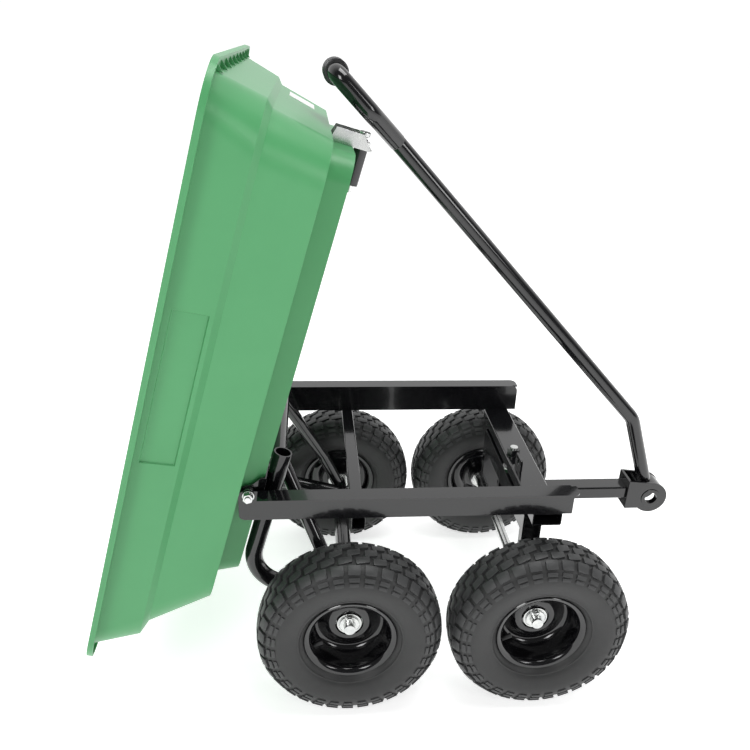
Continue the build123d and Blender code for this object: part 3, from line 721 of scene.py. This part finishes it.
@dataclass
class Tyre:
    """A knobbly pneumatic tyre: a turned casing with rows of tread blocks."""

    casing: tuple[tuple[float, float], ...] = (
        (0.0, 126.8), (14.0, 126.0), (26.5, 122.4), (36.0, 112.5), (40.3, 97.0), (36.3, 78.5),
        (29.5, 68.5), (24.6, 63.5), (22.2, 58.4),
    )
    inside: tuple[tuple[float, float], ...] = (
        (16.0, 58.2), (17.0, 64.0), (31.0, 78.0), (35.0, 96.0), (28.0, 112.0), (0.0, 119.0),
    )
    pitches: int = 34
    ridge_radius: float = 72.0
    ridge_height: float = 0.8
    turn_steps: int = 136
    tread_radius: float = 128.0
    sink: float = 1.0
    rows: tuple[LugRow, ...] = (
        LugRow(0.0, 12.0, 17.5, 3.2, 0.0, 2.2, both_sides=False),
        LugRow(14.6, 10.5, 18.5, 3.2, 0.5, 1.6),
        LugRow(29.0, 12.5, 17.0, 3.3, 0.0, 0.0),
        LugRow(41.5, 5.0, 15.5, 1.9, 0.0, 0.0),
        LugRow(48.5, 4.5, 14.5, 1.5, 0.0, 0.0),
    )

    def line(self) -> list[tuple[float, float]]:
        """The casing's outline from the crown to the bead, in fine steps."""
        return rounded(self.casing, 8)

    def casing_piece(self) -> bpy.types.Object:
        """Turns the casing, with its inside open towards the rim.

        Returns:
            The casing, centred at the origin.
        """
        half = self.line()
        ridge = min(range(len(half)), key=lambda i: abs(half[i][1] - self.ridge_radius))
        half[ridge] = (half[ridge][0] + self.ridge_height, half[ridge][1])
        outside = [(-u, r) for u, r in reversed(half)] + list(half[1:])
        inside = list(self.inside) + [(-u, r) for u, r in reversed(self.inside[:-1])]
        ring = [(u * MM, r * MM) for u, r in outside + inside]
        return spun("tyre_casing", ring, self.turn_steps)

    def block(self) -> bpy.types.Object:
        """Models one tread block of unit size with broken edges."""
        clear_selection()
        bpy.ops.mesh.primitive_cube_add(size=1.0, location=(0, 0, 0))
        block = bpy.context.object
        modify(block, "BEVEL", width=0.07, segments=1, limit_method="NONE")
        return block

    def place_block(
        self, block: bpy.types.Object, row: LugRow, side: int, index: int
    ) -> bpy.types.Object:
        """Copies the block onto the casing.

        Args:
            block: The unit block: x round the tyre, y across the tread, z outwards.
            row: The row it belongs to.
            side: 1 or -1 across the tread.
            index: Its number round the tyre.

        Returns:
            The placed copy.
        """
        line = self.line()
        lengths = [0.0]
        for a, b in zip(line, line[1:]):
            lengths.append(lengths[-1] + math.dist(a, b))
        mesh = block.data.copy()
        middle_turn = math.tau * (index + row.offset) / self.pitches
        for vertex in mesh.vertices:
            round_by, across_by, out_by = vertex.co
            stagger = row.step if round_by > 0 else -row.step
            across = row.across + row.width * across_by + stagger * side
            u, radius, normal = self.on_casing(line, lengths, abs(across))
            flip = -1 if across < 0 else 1
            lift = row.height * (out_by + 0.5) if out_by > 0 else -self.sink
            u, radius = flip * (u + normal[0] * lift), radius + normal[1] * lift
            turn = middle_turn + round_by * row.length / self.tread_radius
            vertex.co = Vector((radius * math.sin(turn), side * u, radius * math.cos(turn))) * MM
        if side < 0:
            mesh.flip_normals()
        return linked("tread_block", mesh)

    def on_casing(
        self, line: Line, lengths: Sequence[float], across: float
    ) -> tuple[float, float, tuple[float, float]]:
        """Finds a place on the casing by its distance from the crown.

        Args:
            line: The casing's outline.
            lengths: The distance along it at each point.
            across: The distance wanted.

        Returns:
            The offset, the radius and the outward normal there.
        """
        i = max(j for j in range(len(lengths) - 1) if lengths[j] <= across)
        t = (across - lengths[i]) / (lengths[i + 1] - lengths[i])
        (u0, r0), (u1, r1) = line[i], line[i + 1]
        run = math.hypot(u1 - u0, r1 - r0)
        return u0 + (u1 - u0) * t, r0 + (r1 - r0) * t, ((r0 - r1) / run, (u1 - u0) / run)

    def build(self) -> bpy.types.Object:
        """Makes one whole tyre at the origin.

        Returns:
            The tyre.
        """
        block = self.block()
        pieces = [self.casing_piece()]
        for row in self.rows:
            for side in ((1, -1) if row.both_sides else (1,)):
                for index in range(self.pitches):
                    pieces.append(self.place_block(block, row, side, index))
        bpy.data.objects.remove(block)
        tyre = joined(pieces, "tyre_pattern")
        smooth(tyre, 32.0)
        return tyre


@dataclass
class Rim:
    """A pressed steel rim: rolled lips, a deep bell-shaped dish and the hub's face."""

    steps: int = 96
    outline: tuple[tuple[float, float], ...] = (
        (20.0, 57.0), (22.6, 58.2), (24.4, 61.0), (25.2, 63.6), (26.6, 64.6), (27.8, 63.4), (27.2, 60.5),
        (25.4, 57.4), (23.0, 55.4), (19.0, 54.8), (8.0, 54.6), (-3.0, 54.3), (-8.5, 53.0), (-12.6, 50.4),
        (-14.6, 47.0), (-14.8, 43.4), (-13.0, 39.4), (-9.8, 35.4), (-7.0, 31.8), (-5.4, 29.2), (-5.0, 27.6),
        (-5.0, 20.4), (-5.6, 19.6), (-7.0, 19.4), (-30.0, 19.4), (-30.0, 21.5), (-8.6, 21.5), (-8.2, 26.0),
        (-9.6, 31.0), (-13.0, 35.6), (-16.4, 40.0), (-17.6, 44.0), (-17.0, 48.6), (-14.4, 52.6), (-10.6, 54.6),
        (-19.0, 54.9), (-23.0, 55.4), (-25.4, 57.4), (-27.2, 60.5), (-27.8, 63.4), (-26.6, 64.6), (-25.2, 63.6),
        (-24.4, 61.0), (-22.6, 58.2), (-20.0, 57.0),
    )

    def build(self) -> bpy.types.Object:
        """Turns one rim at the origin, its face towards +Y.

        Returns:
            The rim.
        """
        rim = spun("rim_pattern", [(u * MM, r * MM) for u, r in self.outline], self.steps)
        smooth(rim, 50.0)
        return rim


@dataclass
class Wheel:
    """One wheel in its place: tyre, rim and hub."""

    name: str
    side: int
    turn: float

    def place(self) -> Matrix:
        """The matrix that carries a pattern, with its face towards +Y, to this wheel."""
        spin = Matrix.Rotation(self.turn, 4, "Y")
        face = Matrix.Rotation(0.0 if self.side > 0 else math.pi, 4, "Z")
        return Matrix.Translation(node_middle(f"tyre_{self.name}")) @ face @ spin

    def build(
        self, tyre: bpy.types.Object, rim: bpy.types.Object, wardrobe: Wardrobe
    ) -> list[bpy.types.Object]:
        """Copies the patterns to this wheel.

        Args:
            tyre: The tyre's pattern.
            rim: The rim's pattern.
            wardrobe: The finishes.

        Returns:
            The wheel's pieces.
        """
        made = []
        for pattern, node, slot in ((tyre, "tyre", Slot.TYRE_RUBBER), (rim, "rim", Slot.BLACK_ENAMEL)):
            piece = copied(pattern, f"{node}_{self.name}_finished", self.place())
            wardrobe.dress(piece, slot)
            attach(piece, f"wheel_{self.name}")
            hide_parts(f"{node}_{self.name}")
            made.append(piece)
        return made


# ---------------------------------------------------------------------------
# Handle grip
# ---------------------------------------------------------------------------
@dataclass
class Grip:
    """The ribbed sleeve on the handle's loop, with a plain collar at each end."""

    ribs: int = 22
    rib_height: float = 0.5 * MM
    collar: float = 3.0 * MM
    wall: float = 4.3 * MM
    end_round: tuple[float, float] = (0.8 * MM, 1.2 * MM)
    steps: int = 72

    def build(self, wardrobe: Wardrobe) -> bpy.types.Object:
        """Turns the sleeve and puts it round the loop.

        Args:
            wardrobe: The finishes.

        Returns:
            The sleeve.
        """
        low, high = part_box("handle_grip")
        half = (high.y - low.y) / 2
        radius = (high.x - low.x) / 2
        bore = radius - self.wall
        along, down = self.end_round
        end = [(half - self.collar, radius), (half - along, radius), (half, radius - down), (half, bore)]
        outline = [(-u, r) for u, r in reversed(end)]
        pitch = 2 * (half - self.collar) / self.ribs
        for i in range(self.ribs):
            start = -half + self.collar + i * pitch
            outline.append((start + 0.15 * pitch, radius - self.rib_height))
            outline.append((start + 0.55 * pitch, radius - 0.15 * self.rib_height))
            outline.append((start + 0.85 * pitch, radius - 0.2 * self.rib_height))
        outline += end
        sleeve = spun("grip_sleeve", outline, self.steps)
        sleeve.data.transform(Matrix.Translation(node_middle("handle_grip")))
        smooth(sleeve, 50.0)
        wardrobe.dress(sleeve, Slot.BLACK_GRIP)
        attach(sleeve, "handle")
        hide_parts("handle_grip")
        return sleeve


# ---------------------------------------------------------------------------
# Studio
# ---------------------------------------------------------------------------
@dataclass
class Softbox:
    """An area light aimed at a point."""

    name: str
    place: Point
    aim: Point
    size: tuple[float, float]
    power: float
    colour: tuple[float, float, float] = (1.0, 1.0, 1.0)

    def build(self) -> None:
        """Adds the light."""
        light = bpy.data.lights.new(self.name, "AREA")
        light.shape = "RECTANGLE"
        light.size, light.size_y = self.size
        light.energy = self.power
        light.color = self.colour
        lamp = linked(self.name, light)
        lamp.location = self.place
        towards = Vector(self.aim) - Vector(self.place)
        lamp.rotation_euler = towards.to_track_quat("-Z", "Y").to_euler()
        lamp.visible_camera = False


@dataclass
class Studio:
    """The pale floor, the soft lights and the camera."""

    camera_place: Point = (-0.1481, -1.0273, 0.8982)
    camera_yaw: float = 5.66
    camera_pitch: float = 24.53
    camera_roll: float = 2.16
    camera_lens: float = 36.42
    floor_half: float = 30.0
    sky: tuple[float, float, float] = (1.0, 1.0, 1.0)
    sky_fade: tuple[float, float] = (-0.25, 0.30)
    sky_back: float = 1.02
    sky_front: float = 0.12
    floor_glow: float = 0.62
    lights: tuple[Softbox, ...] = (
        Softbox("top_softbox", (0.3, -0.2, 2.7), (0.0, 0.0, 0.3), (1.2, 1.2), 26.0),
        Softbox("left_softbox", (-1.5, -2.2, 2.0), (0.0, 0.0, 0.4), (0.9, 1.2), 26.0),
        Softbox("right_softbox", (1.9, -2.0, 1.6), (0.0, 0.0, 0.3), (0.7, 1.1), 14.0),
    )

    def build(self) -> None:
        """Sets the camera, the floor, the sky and the lights."""
        self.place_camera()
        self.lay_floor()
        self.hang_sky()
        for light in self.lights:
            light.build()
        bpy.context.scene.view_settings.view_transform = "Standard"

    def place_camera(self) -> None:
        """Makes the camera and turns it to the cart."""
        camera_data = bpy.data.cameras.new("studio_camera")
        camera_data.lens = self.camera_lens
        camera_data.sensor_width = 36.0
        camera = linked("studio_camera", camera_data)
        turn = Matrix.Rotation(-math.radians(self.camera_yaw), 4, "Z")
        tilt = Matrix.Rotation(math.radians(90 - self.camera_pitch), 4, "X")
        roll = Matrix.Rotation(math.radians(self.camera_roll), 4, "Z")
        camera.matrix_world = Matrix.Translation(self.camera_place) @ turn @ tilt @ roll
        bpy.context.scene.camera = camera

    def lay_floor(self) -> None:
        """Lays the pale floor."""
        clear_selection()
        bpy.ops.mesh.primitive_plane_add(size=2 * self.floor_half, location=(0, 0, 0))
        floor = bpy.context.object
        floor.name = "studio_floor"
        floor.data.materials.append(self.floor_material())

    def hang_sky(self) -> None:
        """Makes a sky that is bright behind the cart and dim in front of it."""
        world = bpy.data.worlds.new("studio_sky")
        world.use_nodes = True
        background = world.node_tree.nodes["Background"]
        background.inputs["Color"].default_value = (*self.sky, 1)
        nodes, links = world.node_tree.nodes, world.node_tree.links
        direction = nodes.new("ShaderNodeTexCoord")
        split = nodes.new("ShaderNodeSeparateXYZ")
        fade = nodes.new("ShaderNodeMapRange")
        fade.inputs["From Min"].default_value, fade.inputs["From Max"].default_value = self.sky_fade
        fade.inputs["To Min"].default_value = self.sky_front
        fade.inputs["To Max"].default_value = self.sky_back
        links.new(direction.outputs["Generated"], split.inputs["Vector"])
        links.new(split.outputs["Y"], fade.inputs["Value"])
        links.new(fade.outputs["Result"], background.inputs["Strength"])
        bpy.context.scene.world = world

    def floor_material(self) -> bpy.types.Material:
        """The floor's matt white."""
        material = bpy.data.materials.new("studio_white")
        material.use_nodes = True
        shader = material.node_tree.nodes["Principled BSDF"]
        shader.inputs["Base Color"].default_value = (0.9, 0.9, 0.9, 1)
        shader.inputs["Roughness"].default_value = 0.9
        shader.inputs["Emission Color"].default_value = (1, 1, 1, 1)
        shader.inputs["Emission Strength"].default_value = self.floor_glow
        return material


# ---------------------------------------------------------------------------
# The whole cart
# ---------------------------------------------------------------------------
WHEELS = (
    Wheel("rear_right", -1, 0.35),
    Wheel("rear_left", 1, 1.9),
    Wheel("front_right", -1, 2.6),
    Wheel("front_left", 1, 4.1),
)
OWN_MODEL_NODES = ("tub", "tub_label", "latch_spring", "handle_grip")
OWN_MODEL_STARTS = ("tyre_", "rim_", "inner_tube_")
THIN_PIECE = 9.0 * MM
THIN_EDGE = 0.35 * MM
THICK_EDGE = 0.7 * MM


def refined_nodes() -> list[RefinedNode]:
    """The steel and zinc nodes that get broken edges and smooth curves."""
    slots = {row["node"]: Slot(row["material_slot"]) for row in frame["record"]["subparts"]}
    made = []
    for body, nodes in frame["record"]["behaviour"]["bodies"].items():
        for node in nodes:
            if node in OWN_MODEL_NODES or node.startswith(OWN_MODEL_STARTS):
                continue
            low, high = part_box(node)
            thin = min(top - bottom for bottom, top in zip(low, high)) < THIN_PIECE
            made.append(RefinedNode(node, body, slots[node], THIN_EDGE if thin else THICK_EDGE))
    return made


def main() -> None:
    """Builds the studio and the cart's pieces in order."""
    logging.basicConfig(level=logging.INFO, format="%(name)s: %(message)s")
    wardrobe = Wardrobe(FINISHES)
    Studio().build()
    wardrobe.dress_nodes()
    for piece in Tub().build(wardrobe):
        log.info("made %s", piece.name)
    tyre, rim = Tyre().build(), Rim().build()
    for wheel in WHEELS:
        for piece in wheel.build(tyre, rim, wardrobe):
            log.info("made %s", piece.name)
    bpy.data.objects.remove(tyre)
    bpy.data.objects.remove(rim)
    log.info("made %s", Grip().build(wardrobe).name)
    for refined in refined_nodes():
        log.info("made %s", refined.build(wardrobe).name)


if __name__ == "__main__":
    main()
